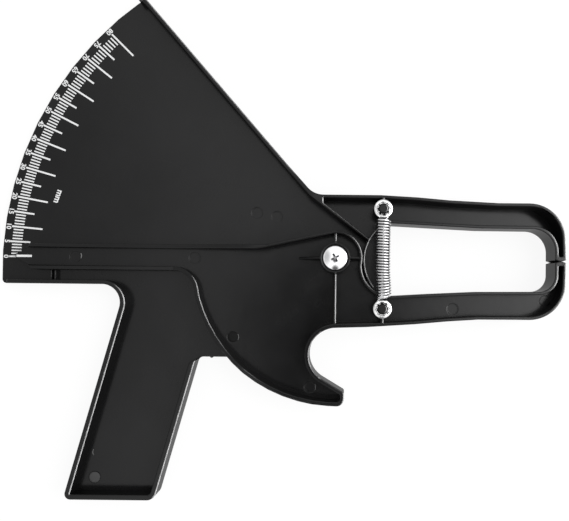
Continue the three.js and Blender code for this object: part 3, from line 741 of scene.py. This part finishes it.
def cross_cutter():
    """The four wings of the cross recess, narrower at the floor than above the head."""
    floor = HEAD_SEAT + HEAD_HEIGHT - RECESS_DEPTH
    top = HEAD_SEAT + HEAD_HEIGHT + ABOVE_HEAD
    bm = bmesh.new()
    for k in range(4):
        a = math.radians(RECESS_TURN + 90 * k)
        way = Vector((math.cos(a), math.sin(a)))
        side = Vector((-math.sin(a), math.cos(a)))
        rings = []
        for z, (reach, half) in ((floor, WING_AT_FLOOR), (top, WING_ABOVE)):
            corners = ((-half, -half), (reach, -half), (reach, half), (-half, half))
            rings.append([vertex(bm, *(way * along + side * across), z) for along, across in corners])
        block(bm, *rings)
    return new_piece("cross_cutter", bm, RECESS_SHADE)


def make_screw():
    bm = bmesh.new()
    lathe(bm, screw_profile(), sides=96)
    screw = new_piece("pivot_screw_dressed", bm, CHROME)
    cutter = cross_cutter()
    cut = screw.modifiers.new("recess", "BOOLEAN")
    cut.operation = "DIFFERENCE"
    cut.solver = "EXACT"
    # The recess's faces take the cutter's darker metal, painted shade.
    cut.material_mode = "TRANSFER"
    cut.use_self = True
    cut.object = cutter
    apply_modifiers(screw)
    bpy.data.objects.remove(cutter)
    edges = bevel_corners(screw, "recess_edges", RECESS_ROUNDING, 40)
    edges.harden_normals = True
    apply_modifiers(screw)
    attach(screw, "frame")
    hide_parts("pivot_screw")


# Star clips

CLIP_TEETH = 8
CLIP_THICKNESS = 0.45
CLIP_ROUNDING = 0.1
CLIP_MIDDLE = 0.25

# Steps round the ring to a tooth and its gap, and those of them that the tooth takes up
STEPS_TO_A_TOOTH = 8
TOOTH_STEPS = range(3, 7)

# Radius and rise of the sheet's middle, from the rim inwards
CLIP_RING = [(4.4, -0.1), (4.2, 0.02), (3.8, 0.1), (3.35, 0.16)]
CLIP_TOOTH = [(3.0, 0.26), (2.72, 0.52), (2.5, 0.86)]


def make_clip(which, body):
    """A dished ring of thin sheet with teeth that turn up against the stud."""
    bm = bmesh.new()
    steps = CLIP_TEETH * STEPS_TO_A_TOOTH
    turns = [2 * math.pi * (k + 0.5) / steps for k in range(steps)]
    rows = []
    for radius, rise in CLIP_RING + CLIP_TOOTH:
        height = CLIP_BOTTOM + CLIP_MIDDLE + rise
        rows.append([vertex(bm, *on_circle(STUDS[which], radius, turn), height) for turn in turns])
    for level, (outer, inner) in enumerate(zip(rows, rows[1:])):
        for k in range(steps):
            if level < len(CLIP_RING) - 1 or k % STEPS_TO_A_TOOTH in TOOTH_STEPS:
                j = (k + 1) % steps
                bm.faces.new((outer[k], outer[j], inner[j], inner[k]))
    bmesh.ops.delete(bm, geom=[v for v in bm.verts if not v.link_faces], context="VERTS")
    clip = new_piece(which + "_star_clip_dressed", bm, PLATE, 80)
    thick = clip.modifiers.new("thickness", "SOLIDIFY")
    thick.thickness = CLIP_THICKNESS * MM
    thick.offset = 0
    bevel_corners(clip, "stamped_edges", CLIP_ROUNDING, 50)
    apply_modifiers(clip)
    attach(clip, body)
    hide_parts(which + "_star_clip")


# Spring

WIRE_DIAMETER = 0.92
WIRE_SIDES = 16
COIL_RADIUS = 3.1
COIL_TURNS = 28
STEPS_TO_A_TURN = 24
LOOP_RADIUS = 2.9
LOOP_STEPS = 60
STANDOFF = 5.2
WIRE_END = 0.9

# Degrees that a loop wraps, and over which it closes in on the stud
LOOP_SWEEP = 300
LOOP_CLOSES_OVER = 75

# The lower curls lean and sit a little to the right, as in the photograph: by how much, from which share
# of the coil on, over which share that grows, and over which shares before the end it fades again
CURL_LEAN = 0.26
CURL_DRIFT = 0.55
SETTLES_FROM, SETTLES_OVER = 0.62, 0.3
LEAN_FADES_OVER = 0.02
DRIFT_FADES_OVER = 0.05


def smoothstep(t):
    t = min(max(t, 0.0), 1.0)
    return t * t * (3 - 2 * t)


def end_loop(stud, side):
    """Middle line of the loop round a stud, from the coil onwards. The side is 1 where the coil lies
    above the stud and -1 where it lies below."""
    points = []
    for k in range(1, LOOP_STEPS + 1):
        swept = LOOP_SWEEP * k / LOOP_STEPS
        radius = STANDOFF + (LOOP_RADIUS - STANDOFF) * smoothstep(swept / LOOP_CLOSES_OVER)
        points.append(Vector((*on_circle(stud, radius, math.radians(side * 90 + swept)), LOOP_HEIGHT)))
    return points


def coil_line():
    """Middle line of the close coil, from the upper stud's loop to the lower one's."""
    start = STUDS["upper"].y - STANDOFF
    end = STUDS["lower"].y + STANDOFF
    steps = COIL_TURNS * STEPS_TO_A_TURN
    points = []
    for k in range(steps + 1):
        a = -2 * math.pi * k / STEPS_TO_A_TURN
        along = k / steps
        settled = smoothstep((along - SETTLES_FROM) / SETTLES_OVER)
        across = COIL_RADIUS * math.sin(a)
        lean = CURL_LEAN * settled * across * smoothstep((1 - along) / LEAN_FADES_OVER)
        drift = CURL_DRIFT * settled * smoothstep((1 - along) / DRIFT_FADES_OVER)
        x = STUDS["upper"].x + across + drift
        y = start + (end - start) * along + lean
        z = LOOP_HEIGHT + COIL_RADIUS * (1 - math.cos(a))
        points.append(Vector((x, y, z)))
    return points


def wire_route():
    route = end_loop(STUDS["upper"], -1)[::-1] + coil_line() + end_loop(STUDS["lower"], 1)
    head = route[0] + (route[0] - route[1]).normalized() * WIRE_END
    tail = route[-1] + (route[-1] - route[-2]).normalized() * WIRE_END
    return [head] + route + [tail]


def make_spring():
    """One round wire along its route, whose rings turn as little as they can."""
    route = wire_route()
    turns = [2 * math.pi * j / WIRE_SIDES for j in range(WIRE_SIDES)]
    last = len(route) - 1
    normal = Vector((0, 0, 1))
    bm = bmesh.new()
    rings = []
    for k, point in enumerate(route):
        tangent = (route[min(k + 1, last)] - route[max(k - 1, 0)]).normalized()
        normal = (normal - tangent * normal.dot(tangent)).normalized()
        side = tangent.cross(normal)
        spokes = [(normal * math.cos(t) + side * math.sin(t)) * WIRE_DIAMETER / 2 for t in turns]
        rings.append([vertex(bm, *(point + spoke)) for spoke in spokes])
    for low, high in zip(rings, rings[1:]):
        bridge(bm, low, high)
    bm.faces.new(rings[0])
    bm.faces.new(rings[-1][::-1])
    spring = new_piece("tension_spring_dressed", bm, WIRE)
    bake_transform(spring)
    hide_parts("tension_spring")


# Marks left by the moulding, with painted highlights at some of them

GRIP_PIN = (-118.4, -98.5)
GRIP_DISC = (-119.98, -111.1)
ARM_PIN = (-129.73, 0.15)
TRIGGER_PIN = (-50.76, -39.65)
HOOK_PIN = (-12.12, -64.24)
JAW_PIN = (58.75, -24.62)
GATE = (-61.9, -49.7)
GLINT_STEPS = 8
GLINT_SUNK, GLINT_RAISED = 0.05, 0.1

# Radius and height round each turned mark's profile
MARK_FLOOR = [(0, 5.2), (2.6, 5.2), (2.6, 5.29), (0, 5.3)]
# The grip's disc, whose pale colour is partly painted sheen.
SHEEN_DISC = [(0, 2.7), (2.8, 2.7), (2.85, 2.86), (2.74, 2.95), (0, 2.98)]
GATE_STUB = [(0, 0.6), (0.75, 0.6), (0.85, 1.0), (0.85, 2.0), (0.7, 2.35), (0.3, 2.5), (0, 2.52)]


def make_glint(name, centre, body, floor, radius, turn, spread, width):
    """A thin pale arc, a painted highlight where the edge of an ejector pin's mark catches the light; angles
    in degrees.
    """
    angles = [math.radians(turn + spread * (k / GLINT_STEPS - 0.5)) for k in range(GLINT_STEPS + 1)]
    outer = [on_circle(centre, radius, a) for a in angles]
    inner = [on_circle(centre, radius - width, a) for a in angles]
    bm = bmesh.new()
    slab(bm, outer + inner[::-1], floor - GLINT_SUNK, floor + GLINT_RAISED)
    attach(new_piece(name, bm, GLINT_PAINT), body)


def make_turned_mark(name, profile, centre, sides, material, body):
    bm = bmesh.new()
    lathe(bm, profile, centre, sides)
    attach(new_piece(name, bm, material), body)


def make_mould_marks():
    """Painted glints and discs at the marks of the ejector pins, and the stub of a gate at the notch."""
    make_glint("grip_crescent_glint", GRIP_PIN, "frame", WEB_FRONT, radius=2.9, turn=182, spread=64, width=0.35)
    make_glint("arm_glint", ARM_PIN, "lever", LEVER_FLOOR, radius=3.2, turn=0, spread=46, width=0.45)
    make_glint("trigger_glint", TRIGGER_PIN, "lever", LEVER_FLOOR, radius=3.05, turn=0, spread=60, width=0.3)
    make_glint("hook_glint", HOOK_PIN, "lever", LEVER_FLOOR, radius=3.05, turn=0, spread=60, width=0.3)
    make_glint("jaw_glint", JAW_PIN, "lever", LEVER_FLOOR, radius=3.1, turn=180, spread=56, width=0.35)
    make_turned_mark("trigger_mark_floor", MARK_FLOOR, TRIGGER_PIN, 48, DULL_MARK, "lever")
    make_turned_mark("grip_ejector_disc", SHEEN_DISC, GRIP_DISC, 48, PIN_MARK, "frame")
    make_turned_mark("gate_stub", GATE_STUB, GATE, 24, BLACK, "frame")


# Floor and lamp, in metres

FLOOR_HALF = 3
FLOOR_HEIGHT = -0.00015
FLOOR_GLOW = 0.9
FLOOR_SHADE = 0.13
LAMP_PLACE = (1.0, 0.1, 0.8)
LAMP_TARGET = (0.0, 0.0, 0.0)
LAMP_SIZE = (1.0, 1.4)
LAMP_RADIANCE = 3.0


def make_floor():
    """A floor that looks white from above but for a faint shadow, and lights the object as pale grey."""
    bm = bmesh.new()
    for x, y in ((-1, -1), (1, -1), (1, 1), (-1, 1)):
        bm.verts.new((x * FLOOR_HALF, y * FLOOR_HALF, FLOOR_HEIGHT))
    bm.faces.new(bm.verts)
    n = Nodes("pale_floor")
    n.give("Base Color", n.ramp(n.noise(FLOOR_CLOUDS), (0.3, grey(0.84)), (0.7, grey(0.86))))
    n.give("Roughness", 0.7)
    shade = n.new("ShaderNodeBsdfDiffuse", {"Color": (*grey(FLOOR_SHADE), 1)})[0]
    glow = n.new("ShaderNodeEmission", {"Strength": FLOOR_GLOW})[0]
    both = n.new("ShaderNodeAddShader", {0: shade, 1: glow})[0]
    seen = mixed_shader(n.tree, seen_directly(n.tree), n.shader.outputs[0], both)
    feed(n.tree, seen, n.tree.nodes["Material Output"].inputs["Surface"])
    new_piece("floor", bm, n.material)


def make_lamp():
    width, length = LAMP_SIZE
    data = bpy.data.lights.new("lamp_right", "AREA")
    data.shape = "RECTANGLE"
    data.size = width
    data.size_y = length
    data.energy = LAMP_RADIANCE * math.pi * width * length
    lamp = bpy.data.objects.new("lamp_right", data)
    lamp.location = LAMP_PLACE
    aim = Vector(LAMP_TARGET) - Vector(LAMP_PLACE)
    lamp.rotation_euler = aim.to_track_quat("-Z", "Y").to_euler()
    bpy.context.collection.objects.link(lamp)


# Surroundings

# A patch has a centre direction, an extent along x, y and z, the share of its depth over which it
# reaches its full effect, and that effect: the share of the glow that it leaves, or what the panel adds
CAMERA_PATCH = ((-0.025, -0.075, 1.0), (0.15, 0.18, 0.6), 0.4, 0.05)
FRONT_PATCH = ((0.0, -0.6, 0.8), (0.25, 0.35, 0.5), 0.5, 0.1)
LEFT_PATCH = ((-0.46, 0.08, 0.87), (0.36, 0.6, 0.6), 0.8, 0.48)
PANEL_PATCH = ((0.42, 0.09, 0.9), (0.36, 0.45, 0.8), 0.5, 1.9)
LOW_GLOW, HIGH_GLOW = 0.55, 1.45
LOW_HEIGHT, HIGH_HEIGHT = 0.35, 1.03
FILL = 0.6
WHITE = 1.0


def make_surroundings():
    """White surroundings, dimmer towards the horizon and in three patches, with one bright panel."""
    world = bpy.data.worlds.new("studio")
    bpy.context.scene.world = world
    world.use_nodes = True
    tree = world.node_tree
    direction = tree.nodes.new("ShaderNodeTexCoord").outputs["Generated"]

    def patch(centre, extent, depth, effect, elsewhere):
        inputs = {
            "Vector": direction,
            "Scale": [1 / e for e in extent],
            "Location": [-c / e for c, e in zip(centre, extent)],
        }
        scaled = new_node(tree, "ShaderNodeMapping", inputs).outputs[0]
        ball = new_node(tree, "ShaderNodeTexGradient", {"Vector": scaled}, gradient_type="SPHERICAL")
        return mapped(tree, ball.outputs["Fac"], 0, depth, elsewhere, effect, "SMOOTHSTEP")

    def background(strength):
        inputs = {"Color": (*grey(WHITE), 1), "Strength": strength}
        return new_node(tree, "ShaderNodeBackground", inputs).outputs[0]

    height = new_node(tree, "ShaderNodeSeparateXYZ", {0: direction}).outputs["Z"]
    glow = mapped(tree, height, LOW_HEIGHT, HIGH_HEIGHT, LOW_GLOW, HIGH_GLOW, "SMOOTHSTEP")
    for dark_patch in (CAMERA_PATCH, FRONT_PATCH, LEFT_PATCH):
        glow = math_node(tree, "MULTIPLY", glow, patch(*dark_patch, 1.0))
    mirrored = math_node(tree, "ADD", glow, patch(*PANEL_PATCH, 0.0))
    lit = mixed_shader(tree, seen_directly(tree), background(FILL), background(mirrored))
    to_camera = tree.nodes.new("ShaderNodeLightPath").outputs["Is Camera Ray"]
    shown = mixed_shader(tree, to_camera, lit, background(WHITE))
    feed(tree, shown, tree.nodes["World Output"].inputs["Surface"])


make_camera()
dress_solids()
make_marks()
make_numbers()
make_unit()
make_index_line()
make_screw()
make_clip("upper", "spring_anchor")
make_clip("lower", "lever")
make_spring()
make_mould_marks()
make_floor()
make_surroundings()
make_lamp()
bpy.context.scene.view_settings.view_transform = "Standard"

bpy.context.view_layer.update()
